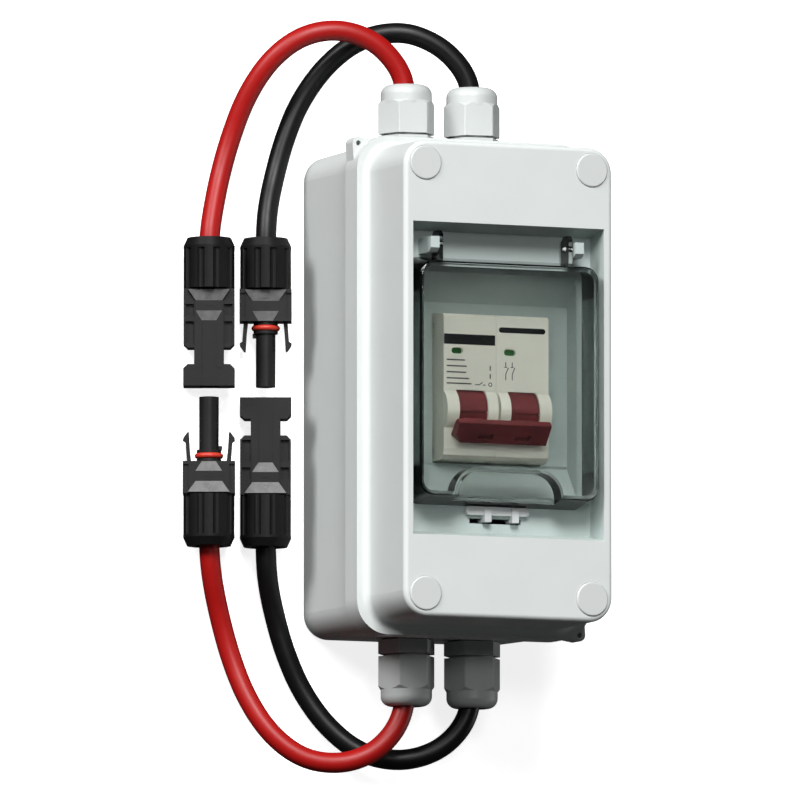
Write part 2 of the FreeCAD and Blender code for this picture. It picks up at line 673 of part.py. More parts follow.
def make_flag(side, low, high):
    x = window_middle(side)
    return block((x - 1.9, low, "nose_front - 2.6"), (x + 1.9, high, "nose_front - 1.6"))


def make_lens(side):
    return window_solid(side, "nose_front - 0.9", "nose_front - 0.2")


def terminals(maker):
    return [maker(side, end) for side in (-1, 1) for end in (-1, 1)]


def terminal_centre(side, end):
    return f"{side} * pole_width / 2", f"breaker_middle + {end} * terminal_y"


def make_terminal_screw(side, end):
    """Slotted screw that drives a terminal clamp."""
    centre = terminal_centre(side, end)
    head = rod("z", centre, 2.7, "shoulder - 7", "shoulder - 4")
    shank = rod("z", centre, 1.9, "terminal_z + 4.4", "shoulder - 7")
    return cut(fuse(head, shank), bar_at(centre, 3, 0.4, "shoulder - 5", "shoulder"))


def make_terminal_clamp(side, end):
    """Cage that grips a lead, with a tapped hole for its screw."""
    centre = terminal_centre(side, end)
    cage = bar_at(centre, 4.6, 3.6, "terminal_z - 4.4", "terminal_z + 5.6")
    throat = bar_at(centre, 3.4, 5, "terminal_z - 3.4", "terminal_z + 3.6")
    return cut(cage, throat, rod("z", centre, 1.95, "terminal_z + 3", "terminal_z + 6"))


def pole_block(side, half_width, low, high):
    """Block centred on a pole; low and high are (y, z) corners."""
    middle = f"{side} * pole_width / 2"
    return block((f"{middle} - {half_width}", *low), (f"{middle} + {half_width}", *high))


def make_rail_clip(side):
    """Sliding foot whose tongue grips the rail from below."""
    foot = pole_block(side, 4, (-43.4, 9.3), (-19.6, 11.7))
    heel = pole_block(side, 4, (-23.0, 6.2), (-19.6, 9.5))
    tongue = pole_block(side, 4, (-20.0, 6.2), (-17.0, 8.6))
    eye = pole_block(side, 1.8, (-42.6, 8), (-41.8, 13))
    return cut(fuse(foot, heel, tongue), eye)


def make_moving_contact(side):
    """Contact arm that swings on its boss."""
    middle = f"{side} * pole_width / 2"
    arm = pole_block(side, 1.5, ("contact_y - 0.9", 34), ("contact_y + 0.9", "contact_z - 0.4"))
    boss = rod("x", ("contact_y", "contact_z"), 2.0, f"{middle} - 1.5", f"{middle} + 1.5")
    tip = pole_block(side, 1.5, ("contact_y + 0.7", 34), ("contact_y + 1.7", 37.4))
    return fuse(arm, boss, tip)


def make_fixed_contact(side):
    """Plate that meets the moving contact, on a strap from the upper terminal."""
    plate = pole_block(side, 2, (-2.0, 32.0), (-0.8, 40.0))
    strap = pole_block(side, 2, (-2.0, 31.0), (25.8, 32.2))
    return fuse(plate, strap)


def make_chute_plates(side):
    """Six thin steel plates that split the arc."""
    places = [4 + 2.2 * step for step in range(6)]
    return [pole_block(side, 5, (y, 15.5), (y + 0.9, 28.5)) for y in places]


def make_coil(side):
    """Magnetic trip: a bobbin with flanges round its plunger."""
    centre = (f"{side} * pole_width / 2", 22)
    tube = rod("y", centre, 4.2, -33, -19)
    flanges = [rod("y", centre, 5.6, low, low + 1.2) for low in (-34, -19.2)]
    return cut(fuse(tube, *flanges), rod("y", centre, 1.6, -36, -20))


RIVET_CENTRES = ((35.0, 17.0), (-38.0, 17.0), (18.0, 59.0), (-21.0, 59.0))


def make_rivet(centre):
    return rod("x", centre, "rivet_radius", "-pole_width", "pole_width")


def drill_for_rivets(case):
    return cut(case, *all_rods("x", RIVET_CENTRES, "rivet_radius + 0.05", -20, 20))


# ---------------------------------------------------------------- glands
def moved_span(end, first, last):
    """As span_out, further out by the longer collars of the low glands."""
    shift = "0" if end > 0 else "low_shift"
    return span_out(end, f"{first} + {shift}", f"{last} + {shift}")


def gland_centre(side):
    return f"{side} * gland_x", "gland_z"


def make_gland_body(side, end):
    """Threaded body with a hexagonal collar and the seat of the seal."""
    centre = gland_centre(side)
    shift = "0" if end > 0 else "low_shift"
    thread = rod("y", centre, "thread_radius", *span_out(end, 67, "collar_start"))
    collar_span = span_out(end, "collar_start", f"collar_end + {shift}")
    collar = hexagon(centre, "hex_flats", *collar_span, "hex_spin")
    neck = rod("y", centre, 6.5, *span_out(end, "collar_end", f"89.5 + {shift}"))
    bore = rod("y", centre, "bore_radius", *span_out(end, 60, 96))
    seat = rod("y", centre, 5.6, *moved_span(end, 83.5, 95))
    return cut(fuse(thread, collar, neck), bore, seat)


def make_gland_nut(side, end):
    """Hexagonal cap with a chamfered edge and a dome with an open mouth."""
    centre = gland_centre(side)
    sleeve = hexagon(centre, "hex_flats", *moved_span(end, "nut_start", "nut_end"), "hex_spin")
    barrel = rod("y", centre, 9.0, *moved_span(end, "nut_start", "nut_end - 1.4"))
    radii = (9.0, 7.7) if end > 0 else (7.7, 9.0)
    chamfer = cone("y", centre, *radii, *moved_span(end, "nut_end - 1.4", "nut_end"))
    crown = rod("y", centre, "dome_radius", *moved_span(end, "nut_end - 1", "dome_end"))
    dome_end = DIMENSIONS["dome_end"] + (0 if end > 0 else DIMENSIONS["low_shift"])
    crown = rounded_edges(crown, 3.1, lambda edge: flat_at(edge, end * dome_end, "y"))
    bore = rod("y", centre, 6.6, *moved_span(end, 80, 90.6))
    mouth = rod("y", centre, "mouth_radius", *moved_span(end, 80, 100))
    return cut(fuse(common(sleeve, fuse(barrel, chamfer)), crown), bore, mouth)


def tube_piece(centre, outer, inner, span):
    return cut(rod("y", centre, outer, *span), rod("y", centre, inner, f"{span[0]} - 1", f"{span[1]} + 1"))


def make_gland_seal(side, end):
    """Rubber sleeve round the cable inside the gland."""
    return tube_piece(gland_centre(side), 5.5, "cable_radius", moved_span(end, 83.6, 89.5))


def make_locknut(side, end):
    body = hexagon(gland_centre(side), 15.6, *span_out(end, 69.6, "pad_inner"), 0)
    return cut(body, rod("y", gland_centre(side), "thread_radius", *span_out(end, 60, 80)))


def make_washer(side, end):
    span = span_out(end, "pad_face", "collar_start")
    return tube_piece(gland_centre(side), 7.7, "thread_radius + 0.1", span)


# ---------------------------------------------------------------- cables
RED_TOP = ((-11.2, 86.5, 25.2), (-11.2, 96, 25.2), (-14.5, 103.6, 25), (-22, 110.7, 24),
           (-32.5, 114, 21.5), (-43.5, 111.9, 18), (-52.5, 104.3, 13.5), (-58.3, 93, 8),
           (-61.6, 80.5, 3.6), (-65, 68.5, 3.2), (-68.4, 57.5, 5.8), (-70.7, 48.5, 8), (-70.7, 41.5, 8))
BLACK_TOP = ((11.2, 86.5, 25.2), (11.2, 96, 25.2), (7.9, 103.7, 24.5), (0.5, 110.8, 22.5),
             (-10, 114.7, 19), (-21.5, 112.4, 13.5), (-31, 104.3, 8), (-38.4, 92.5, 4),
             (-43.2, 80.5, 3.2), (-46.5, 69, 3.2), (-50, 58.5, 6), (-51.5, 49, 8), (-51.5, 42.1, 8))
RED_LOW = ((-11.2, -87.5, 25.2), (-11.2, -95.5, 25.2), (-14.5, -105, 25), (-22, -112.5, 24),
           (-32, -116, 21.5), (-43, -114.5, 18), (-52, -107, 13.5), (-57.8, -95.5, 8),
           (-61.2, -83, 3.6), (-64.8, -70.5, 3.2), (-68.8, -58.5, 6), (-70.7, -48.5, 8), (-70.7, -41.7, 8))
BLACK_LOW = ((11.2, -87.5, 25.2), (11.2, -95.7, 25.2), (7.6, -104.6, 24.5), (0, -111.5, 22),
             (-10.5, -114.3, 17.5), (-21.5, -111.5, 12), (-30.5, -103, 7), (-37.5, -92, 3.7),
             (-42.7, -80.5, 3.2), (-46.2, -69.5, 3.2), (-50, -58.5, 6), (-51.5, -48.5, 8), (-51.5, -41.4, 8))


def tangent_path(points):
    """Straight runs joined by the largest arcs that 0.45 of a run allows."""
    route = [Vector(*point) for point in points]
    edges = []
    radii = []
    start = route[0]
    for before, corner, after in zip(route, route[1:], route[2:]):
        first = (corner - before)
        last = (after - corner)
        turn = first.getAngle(last)
        setback = 0.45 * min(first.Length, last.Length)
        radii.append(setback / math.tan(turn / 2))
        arc_in = corner - first.normalize() * setback
        arc_out = corner + last.normalize() * setback
        bisector = (last - first).normalize()
        edges.append(Part.LineSegment(start, arc_in).toShape())
        edges.append(Part.Arc(arc_in, arc_top(corner, bisector, radii[-1], turn), arc_out).toShape())
        start = arc_out
    edges.append(Part.LineSegment(start, route[-1]).toShape())
    return Part.Wire(edges), radii


def arc_top(corner, bisector, radius, turn):
    """Middle of a corner's arc: in from the corner along the bisector."""
    return corner + bisector * radius * (1 / math.cos(turn / 2) - 1)


def make_tube(name, points, radius):
    """Round cable swept along its path and measured against it."""
    wire, radii = tangent_path(points)
    first = Vector(*points[1]) - Vector(*points[0])
    disc = Part.Wire([Part.Circle(Vector(*points[0]), first, radius).toShape()])
    solid = wire.makePipeShell([disc], True, False)
    expected = math.pi * radius ** 2 * wire.Length
    if abs(solid.Volume / expected - 1) > 0.01:
        raise ValueError(f"{name} does not have the volume of its path")
    print(name, "length", round(wire.Length, 1), "smallest radius", round(min(radii), 1))
    tube = doc.addObject("Part::Feature", name)
    tube.Shape = solid
    tube.Placement = FreeCAD.Placement()
    return tube


def inner_route(side, end):
    """Lead inside the box: through the gland, then up to its terminal."""
    size = DIMENSIONS
    gland, terminal = side * size["gland_x"], side * size["pole_width"] / 2
    middle = size["breaker_middle"]
    start = 86.5 if end > 0 else 87.5
    return ((gland, end * start, size["gland_z"]),
            (gland, end * 62.5, size["gland_z"]),
            (gland - side * 0.6, middle + end * 55.6, 27.2),
            (terminal + side * 0.6, middle + end * 49.4, 31.0),
            (terminal, middle + end * 43.0, size["terminal_z"]),
            (terminal, middle + end * 34.5, size["terminal_z"]))


# ---------------------------------------------------------------- connectors
PLUG_GAP = 0.2


def plug_local(y_start, y_end, half_width, half_depth, x=0.0, z=0.0):
    """Block of a connector, given by half its width and half its depth."""
    return block((x - half_width, y_start, f"{z} - ({half_depth})"),
                 (x + half_width, y_end, f"{z} + ({half_depth})"))


def make_plug_nut():
    """Ribbed compression nut with a tapered cable end."""
    body = rod("y", (0, 0), "plug_nut_radius", 2.6, "plug_nut_length")
    taper = cone("y", (0, 0), "plug_nut_radius - 1.2", "plug_nut_radius", 0, 2.6)
    bore = fuse(rod("y", (0, 0), "cable_radius + 0.1", 1, 12), cone("y", (0, 0), 4.6, 3.3, -0.01, 3.2))
    wide = rod("y", (0, 0), 5.6, 3.5, "plug_nut_length + 1")
    grooves = []
    for index in range(10):
        angle = math.radians(36 * index + 18)
        centre = (8.5 * math.sin(angle), 8.5 * math.cos(angle))
        grooves.append(rod("y", centre, 1.3, 3.4, "plug_nut_length + 1"))
    return cut(fuse(body, taper), bore, wide, *grooves)


def ramp_places():
    """Y of the steps on a housing: first slope, flat band, second slope, its end."""
    start = DIMENSIONS["plug_nut_length"] + PLUG_GAP
    return start + 0.4, start + 3.8, start + 7.0, start + 10.0


def both_faces(outline, low, high):
    """The same (x, y) outline pushed between two depths, on the front and the back."""
    return [prism("z", outline, low, high), prism("z", outline, f"-({high})", f"-({low})")]


def make_reliefs(end):
    """Room for the second slope, and the groove that runs on from it."""
    size = DIMENSIONS
    _, _, second, second_end = ramp_places()
    wide, narrow = size["band_wide"], size["groove_wide"]
    outline = [(-wide, second), (wide, second), (narrow, second_end), (narrow, end), (-narrow, end),
               (-narrow, second_end)]
    return both_faces(outline, "groove_floor", "ramp_high + 1")


def slope_profile(lift):
    """(y, z) corners of the two slopes and the band between them, lifted outward."""
    size = DIMENSIONS
    first, first_end, second, second_end = ramp_places()
    return [(first, size["ramp_high"] + lift), (first_end, size["band_high"] + lift),
            (second, size["band_high"] + lift), (second_end, size["groove_floor"] + lift)]


def make_ramps():
    """Two slopes with a flat band between, on the front and back of a housing."""
    size = DIMENSIONS
    first, first_end, second, second_end = ramp_places()
    right = [(size["ramp_wide"], first), (size["band_wide"], first_end), (size["band_wide"], second),
             (size["groove_wide"], second_end)]
    plan = right + [(-x, y) for x, y in reversed(right)]
    above = slope_profile(0) + [(second_end, size["ramp_high"] + 1), (first, size["ramp_high"] + 1)]
    below = [(y, -z) for y, z in above]
    spare = [prism("x", points, -8, 8) for points in (above, below)]
    return cut(prism("z", plan, "-ramp_high", "ramp_high"), *spare)


def make_marks(is_pin):
    """Raised arrow on the first slope and a plus or minus on the band."""
    first, first_end, second, _ = ramp_places()
    middle = (first_end + second) / 2
    bars = [plug_local(middle - 0.17, middle + 0.17, 1.1, "band_high + 0.12")]
    if is_pin:
        bars.append(plug_local(middle - 1.1, middle + 1.1, 0.17, "band_high + 0.12"))
    tip, base = first + 0.7, first_end - 0.7
    arrow = cut(prism("z", [(-1.2, base), (1.2, base), (0, tip)], -7, 7),
                prism("z", [(-0.75, base - 0.25), (0.75, base - 0.25), (0, tip + 0.6)], -8, 8))
    slab = slope_profile(-0.3)[:2] + slope_profile(0.12)[1::-1]
    slabs = fuse(prism("x", slab, -3, 3), prism("x", [(y, -z) for y, z in slab], -3, 3))
    return [*bars, common(arrow, slabs)]


def make_socket_housing():
    """Housing that takes the pin plug: winged body, waist and flared end."""
    start = DIMENSIONS["plug_nut_length"] + PLUG_GAP
    spigot = rod("y", (0, 0), 5.4, 12.4, start)
    wing_outline = [(-7.9, start), (7.9, start), (7.9, 33.3), (6.6, 34.6), (-6.6, 34.6), (-7.9, 33.3)]
    wings = prism("z", wing_outline, -4.2, 4.2)
    spine = plug_local(start, 41.0, 4.4, 4.8)
    flare_right = [(4.6, 33.0), (4.6, 39.8), (6.6, 39.8), (8.0, 41.1), (8.0, 46.5)]
    flare = prism("z", flare_right + [(-x, y) for x, y in reversed(flare_right)], -4.7, 4.7)
    pockets = [plug_local(first, last, 1.3, 1.2, side * 6.0, turn * 4.2)
               for side in (-1, 1) for turn in (-1, 1) for first, last in ((21.0, 24.6), (26.4, 33.2))]
    latch_seats = [plug_local(28.8, 33.0, 0.6, 1.6, side * 8.0) for side in (-1, 1)]
    body = cut(fuse(spigot, wings, spine, flare), *make_reliefs(47.0))
    body = fuse(body, make_ramps(), *make_marks(False))
    mouth = rod("y", (0, 0), 3.3, 24, 47)
    bore = rod("y", (0, 0), 2.6, 10, 30)
    return cut(body, mouth, bore, *pockets, *latch_seats)


def make_pin_housing():
    """Housing with the plug tube, its seal groove and two barbed latch fingers."""
    start = DIMENSIONS["plug_nut_length"] + PLUG_GAP
    spigot = rod("y", (0, 0), 5.4, 12.4, start)
    block_end = 26.2
    collars = [rod("y", (0, 0), 3.8, first, last) for first, last in ((block_end, 27.2), (29.0, 29.9))]
    tube = rod("y", (0, 0), "plug_tube_radius", block_end - 0.2, "plug_length")
    outline = [(5.3, 24.4), (6.7, 24.4), (7.3, 32.4), (8.1, 32.9), (8.0, 33.6), (6.7, 35.4), (6.2, 35.4),
               (5.9, 30.0)]
    fingers = [prism("z", [(side * x, y) for x, y in outline], -2.1, 2.1) for side in (-1, 1)]
    key = plug_local(29.8, 31.2, 0.7, 0.6, 3.4)
    body = cut(fuse(spigot, plug_local(start, block_end, 8.1, 4.8)), *make_reliefs(block_end + 1))
    body = fuse(body, make_ramps(), *make_marks(True), *collars, tube, key, *fingers)
    notches = [plug_local(17.4, 25.2, 0.9, 0.7, side * 7.2, turn * 4.8)
               for side in (-1, 1) for turn in (-1, 1)]
    groove = cut(rod("y", (0, 0), 4.0, 27.2, 29.0), rod("y", (0, 0), 2.7, 27.0, 29.2))
    return cut(body, rod("y", (0, 0), 2.1, 10, 48), groove, *notches)


def make_contact(is_pin):
    """Crimped contact, from the cable's end to the mating end."""
    crimp = rod("y", (0, 0), 2.0, "plug_cable_end", 24.0)
    if is_pin:
        return fuse(crimp, rod("y", (0, 0), 1.5, 23.0, 45.5))
    return cut(fuse(crimp, rod("y", (0, 0), 2.4, 23.0, 34.0)), rod("y", (0, 0), 1.6, 26, 35))


def place_plug(thing, x, y, direction):
    """Put a plug built along +Y from the origin on the table, rolled to the left."""
    size = DIMENSIONS
    roll = FreeCAD.Rotation(Y_AXIS, size["plug_roll"])
    heading = FreeCAD.Rotation() if direction > 0 else FreeCAD.Rotation(Z_AXIS, 180)
    thing.Placement = FreeCAD.Placement(Vector(), roll.multiply(heading))
    place(thing, (x, y, "plug_z"))
    return thing


PLUGS = (
    # name, x, y, direction of the cable end to the mating end, whether it is the pin kind
    ("top_red", "plug_red_x", "top_red_y", -1, False),
    ("top_black", "plug_black_x", "top_black_y", -1, True),
    ("low_red", "plug_red_x", "low_red_y", 1, True),
    ("low_black", "plug_black_x", "low_black_y", 1, False),
)


# ---------------------------------------------------------------- assembly
def build_enclosure():
    node("base_shell", make_base())
    node("cover_shell", make_cover())
    node("lid_gasket", make_gasket())
    node("lid_screws", group(*four_corners(make_lid_screw)))
    node("screw_caps", group(*four_corners(make_cap)))
    node("din_rail", make_rail())
    node("rail_screws", group(*[make_rail_screw(centre) for centre in RAIL_SCREW_CENTRES]))
    node("window_door", make_door())
    node("door_hinge_pins", group(*both_sides(make_hinge_pin)))
    node("door_catch", make_catch())


def build_breaker():
    for side, name in ((-1, "left"), (1, "right")):
        node(f"pole_case_{name}", drill_for_rivets(make_case(side)))
        node(f"toggle_{name}", make_toggle(side))
    node("handle_tie_bar", make_tie_bar())
    node("toggle_pivot_pins", group(*both_sides(make_pivot_pin)))
    node("state_flags_green", group(*both_sides(lambda side: make_flag(side, 8.6, 11.0))))
    node("state_flags_red", group(*both_sides(lambda side: make_flag(side, 5.9, 8.6))))
    node("state_window_lenses", group(*both_sides(make_lens)))
    node("terminal_screws", group(*terminals(make_terminal_screw)))
    node("terminal_clamps", group(*terminals(make_terminal_clamp)))
    node("rail_clips", group(*both_sides(make_rail_clip)))
    node("moving_contacts", group(*both_sides(make_moving_contact)))
    node("fixed_contacts", group(*both_sides(make_fixed_contact)))
    node("arc_chute_plates", group(*make_chute_plates(-1), *make_chute_plates(1)))
    node("trip_coils", group(*both_sides(make_coil)))
    node("case_rivets", group(*[make_rivet(centre) for centre in RIVET_CENTRES]))


def build_glands():
    for end, row_name in ((1, "top"), (-1, "low")):
        for side, name in ((-1, "left"), (1, "right")):
            node(f"gland_body_{row_name}_{name}", make_gland_body(side, end))
            node(f"gland_nut_{row_name}_{name}", make_gland_nut(side, end))
    node("gland_seals", group(*terminals(make_gland_seal)))
    node("gland_locknuts", group(*terminals(make_locknut)))
    node("gland_washers", group(*terminals(make_washer)))


def build_cables():
    for name, route in (("cable_top_red", RED_TOP), ("cable_top_black", BLACK_TOP),
                        ("cable_low_red", RED_LOW), ("cable_low_black", BLACK_LOW)):
        node(name, make_tube(name, route, DIMENSIONS["cable_radius"]))
    for side, name in ((-1, "red"), (1, "black")):
        leads = [make_tube(f"lead_{name}_{end}", inner_route(side, end), DIMENSIONS["cable_radius"] - 0.02)
                 for end in (-1, 1)]
        node(f"inner_leads_{name}", group(*leads))


def build_plugs():
    seals = []
    rings = []
    for name, x, y, direction, is_pin in PLUGS:
        housing = make_pin_housing() if is_pin else make_socket_housing()
        node(f"plug_housing_{name}", place_plug(housing, x, y, direction))
        node(f"plug_nut_{name}", place_plug(make_plug_nut(), x, y, direction))
        node(f"plug_contact_{name}", place_plug(make_contact(is_pin), x, y, direction))
        seal = tube_piece((0, 0), 5.4, "cable_radius + 0.05", ("3.6", "6.4"))
        seals.append(place_plug(seal, x, y, direction))
        if is_pin:
            ring_piece = ring("y", (0, 0), 3.6, 0.85, 28.1)
            rings.append(place_plug(group(ring_piece), x, y, direction))
    node("plug_cable_seals", group(*seals))
    node("plug_face_seals", group(*rings))


def check_and_export():
    doc.recompute()
    for thing in doc.Objects:
        if "Invalid" in thing.State or "Error" in thing.State:
            raise ValueError(f"{thing.Name} ({thing.Label}) failed: {thing.State}")
    os.makedirs("parts", exist_ok=True)
    for name, thing in nodes.items():
        shape = thing.Shape
        if shape.isNull() or not shape.isValid() or not shape.Solids:
            raise ValueError(f"{name} has no sound shape")
        shape.exportStep(f"parts/{name}.step")
        print(name, len(shape.Solids), round(shape.Volume, 1))
    print(len(nodes), "sub-parts")


build_enclosure()
build_breaker()
build_glands()
build_cables()
build_plugs()
check_and_export()
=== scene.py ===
"""Looks of the DC combiner box: materials, cables, printed marks, light and camera.

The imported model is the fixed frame.  All places are in its frame, in metres;
MM turns millimetres into metres.
"""
import math

import bmesh
import bpy
from mathutils import Matrix, Vector


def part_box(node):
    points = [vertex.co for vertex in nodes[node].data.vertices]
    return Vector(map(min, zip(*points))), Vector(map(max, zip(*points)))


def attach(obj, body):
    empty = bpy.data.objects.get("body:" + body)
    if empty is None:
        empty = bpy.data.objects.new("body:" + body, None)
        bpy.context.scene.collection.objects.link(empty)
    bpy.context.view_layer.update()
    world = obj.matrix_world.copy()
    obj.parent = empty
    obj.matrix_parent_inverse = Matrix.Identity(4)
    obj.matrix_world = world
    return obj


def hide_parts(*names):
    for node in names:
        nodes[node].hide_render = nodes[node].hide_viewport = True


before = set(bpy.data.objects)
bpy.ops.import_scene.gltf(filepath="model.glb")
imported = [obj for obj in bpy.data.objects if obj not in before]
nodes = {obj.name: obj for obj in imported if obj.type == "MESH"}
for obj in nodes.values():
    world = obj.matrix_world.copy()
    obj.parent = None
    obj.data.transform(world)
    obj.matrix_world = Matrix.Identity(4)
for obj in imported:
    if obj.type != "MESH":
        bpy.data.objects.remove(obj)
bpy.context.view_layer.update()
MM = 0.001


# ------------------------------------------------------------ camera and light
TURN = math.radians(24.0)
TILT = math.radians(5.4)
FRAME_WIDTH = 248.4 * MM
LENS = 800.0
TARGET = Vector((-19.5, -3.3, 39.0)) * MM
STUDIO_TONE = (0.94, 1.0, 0.99)
STUDIO_STRENGTH = 0.035
# Each softbox: name, direction, distance, size, brightness.
SOFTBOXES = (
    ("key_softbox", (-0.36, 0.78, 1.0), 4.0, 1.5, 1.07),
    ("left_softbox", (-1.0, 0.72, 0.42), 3.0, 1.0, 0.72),
    ("front_fill", (-0.25, 0.2, 1.0), 4.0, 0.6, 0.14),
    ("right_fill", (1.0, -0.14, 0.12), 4.0, 1.2, 0.12),
)


def look_direction():
    """Unit vector from the object to the camera, in front of and below the lid."""
    level = math.cos(TILT)
    return Vector((-math.sin(TURN) * level, -math.sin(TILT), math.cos(TURN) * level))


def make_camera():
    toward = look_direction()
    right = Vector((math.cos(TURN), 0.0, math.sin(TURN)))
    up = toward.cross(right)
    data = bpy.data.cameras.new("camera")
    data.lens = LENS
    distance = FRAME_WIDTH * LENS / data.sensor_width
    data.clip_end = distance * 4
    camera = bpy.data.objects.new("camera", data)
    spin = Matrix((right, up, toward)).transposed().to_4x4()
    camera.matrix_world = Matrix.Translation(TARGET + toward * distance) @ spin
    bpy.context.scene.collection.objects.link(camera)
    bpy.context.scene.camera = camera


def make_softbox(name, direction, distance, size, brightness):
    """Square softbox; brightness is what it gives a white card that faces it."""
    data = bpy.data.lights.new(name, "AREA")
    data.shape = "SQUARE"
    data.size = size
    data.energy = brightness * math.pi ** 2 * distance ** 2
    light = bpy.data.objects.new(name, data)
    away = Vector(direction).normalized()
    light.location = away * distance
    light.rotation_euler = away.to_track_quat("Z", "Y").to_euler()
    bpy.context.scene.collection.objects.link(light)


def make_lights():
    """Key from high on the left of the box's top end, a left light and two weak fills."""
    for softbox in SOFTBOXES:
        make_softbox(*softbox)
    world = bpy.data.worlds.new("studio")
    world.use_nodes = True
    background = world.node_tree.nodes["Background"]
    background.inputs["Color"].default_value = (*STUDIO_TONE, 1.0)
    background.inputs["Strength"].default_value = STUDIO_STRENGTH
    bpy.context.scene.world = world
    bpy.context.scene.view_settings.view_transform = "Standard"


# ------------------------------------------------------------- material tools
def new_material(name):
    material = bpy.data.materials.new(name)
    material.use_nodes = True
    tree = material.node_tree
    return material, tree, tree.nodes["Principled BSDF"]


def noise(tree, scale, detail=3.0):
    """Fine noise fixed to the object."""
    place = tree.nodes.new("ShaderNodeTexCoord")
    texture = tree.nodes.new("ShaderNodeTexNoise")
    texture.inputs["Scale"].default_value = scale
    texture.inputs["Detail"].default_value = detail
    tree.links.new(place.outputs["Object"], texture.inputs["Vector"])
    return texture.outputs["Fac"]


def ramp(tree, factor, first, last, low=0.35, high=0.65):
    """Blend two colours by a factor."""
    blend = tree.nodes.new("ShaderNodeValToRGB")
    blend.color_ramp.elements[0].position = low
    blend.color_ramp.elements[1].position = high
    blend.color_ramp.elements[0].color = (*first, 1.0)
    blend.color_ramp.elements[1].color = (*last, 1.0)
    tree.links.new(factor, blend.inputs["Fac"])
    return blend.outputs["Color"]


def mix(tree, factor, first, last):
    """Blend two colour outputs by a factor."""
    blend = tree.nodes.new("ShaderNodeMix")
    blend.data_type = "RGBA"
    tree.links.new(factor, blend.inputs["Factor"])
    tree.links.new(first, blend.inputs[6])
    tree.links.new(last, blend.inputs[7])
    return blend.outputs[2]


def spread(tree, factor, low, high):
    """Map a factor from 0..1 to low..high."""
    remap = tree.nodes.new("ShaderNodeMapRange")
    remap.inputs["To Min"].default_value = low
    remap.inputs["To Max"].default_value = high
    tree.links.new(factor, remap.inputs["Value"])
    return remap.outputs["Result"]


def size_along(tree, measure, axis):
    """Unsigned part, along an axis, of the surface's Normal or its Object place."""
    place = tree.nodes.new("ShaderNodeTexCoord")
    split = tree.nodes.new("ShaderNodeSeparateXYZ")
    size = tree.nodes.new("ShaderNodeMath")
    size.operation = "ABSOLUTE"
    tree.links.new(place.outputs[measure], split.inputs["Vector"])
    tree.links.new(split.outputs[axis], size.inputs[0])
    return size.outputs["Value"]


def product(tree, first, second):
    node = tree.nodes.new("ShaderNodeMath")
    node.operation = "MULTIPLY"
    tree.links.new(first, node.inputs[0])
    tree.links.new(second, node.inputs[1])
    return node.outputs["Value"]


def step_up(tree, value, low, high):
    """0 below low, 1 above high."""
    remap = tree.nodes.new("ShaderNodeMapRange")
    remap.inputs["From Min"].default_value = low
    remap.inputs["From Max"].default_value = high
    tree.links.new(value, remap.inputs["Value"])
    return remap.outputs["Result"]


def flat_colour(tree, colour):
    node = tree.nodes.new("ShaderNodeRGB")
    node.outputs[0].default_value = (*colour, 1.0)
    return node.outputs[0]


def near(tree, value, centre, width):
    """1 where the value is within width of the centre, else 0."""
    test = tree.nodes.new("ShaderNodeMath")
    test.operation = "COMPARE"
    test.inputs[1].default_value = centre
    test.inputs[2].default_value = width
    tree.links.new(value, test.inputs[0])
    return test.outputs["Value"]


def bump(tree, shader, height, strength, distance):
    node = tree.nodes.new("ShaderNodeBump")
    node.inputs["Strength"].default_value = strength
    node.inputs["Distance"].default_value = distance
    tree.links.new(height, node.inputs["Height"])
    tree.links.new(node.outputs["Normal"], shader.inputs["Normal"])


def shade(colour, factor):
    return tuple(min(1.0, channel * factor) for channel in colour)


# ------------------------------------------------------------------ materials
# How the plug slopes that get a painted reflection face.
SLOPE_FACING, SLOPE_SPREAD = 0.19, 0.05
# Facings where the painted shade of clear mouldings passes from walls to edges and to the clear
# faces.
WALL_FACING = (0.25, 0.35)
FACE_FACING = (0.90, 0.975)
DOOR_PAINTED_DARK_FROM = 27.5 * MM
# Where the painted shade inside the door's recess begins and how it fades in.
RECESS_MARGINS = {"X": 2.2 * MM, "Y": 2.5 * MM}
RECESS_STARTS, RECESS_FULL = 0.3 * MM, 0.8 * MM
RECESS_EDGE = 0.1 * MM
GRAIN_HEIGHT = 0.05 * MM


def moulded_plastic(name, colour, roughness, grain=2600.0, grain_depth=0.1, mottle=0.05,
                    specular=0.5):
    """Moulded plastic: fine spark-eroded grain, slight mottling and uneven gloss."""
    material, tree, shader = new_material(name)
    tone = ramp(tree, noise(tree, 60.0), shade(colour, 1 - mottle), shade(colour, 1 + mottle))
    tree.links.new(tone, shader.inputs["Base Color"])
    gloss = spread(tree, noise(tree, 420.0), roughness - 0.06, roughness + 0.06)
    tree.links.new(gloss, shader.inputs["Roughness"])
    shader.inputs["Specular IOR Level"].default_value = specular
    bump(tree, shader, noise(tree, grain, 2.0), grain_depth, GRAIN_HEIGHT)
    return material


def painted_slope_reflection(material, colour):
    """Painted reflection: paler colour on a connector's two shallow slopes, told by how they
    face.
    """
    tree = material.node_tree
    shader = tree.nodes["Principled BSDF"]
    base = shader.inputs["Base Color"].links[0].from_socket
    pale = ramp(tree, noise(tree, 500.0), shade(colour, 0.85), shade(colour, 1.1))
    slopes = near(tree, size_along(tree, "Normal", "Y"), SLOPE_FACING, SLOPE_SPREAD)
    tree.links.new(mix(tree, slopes, base, pale), shader.inputs["Base Color"])
    return material


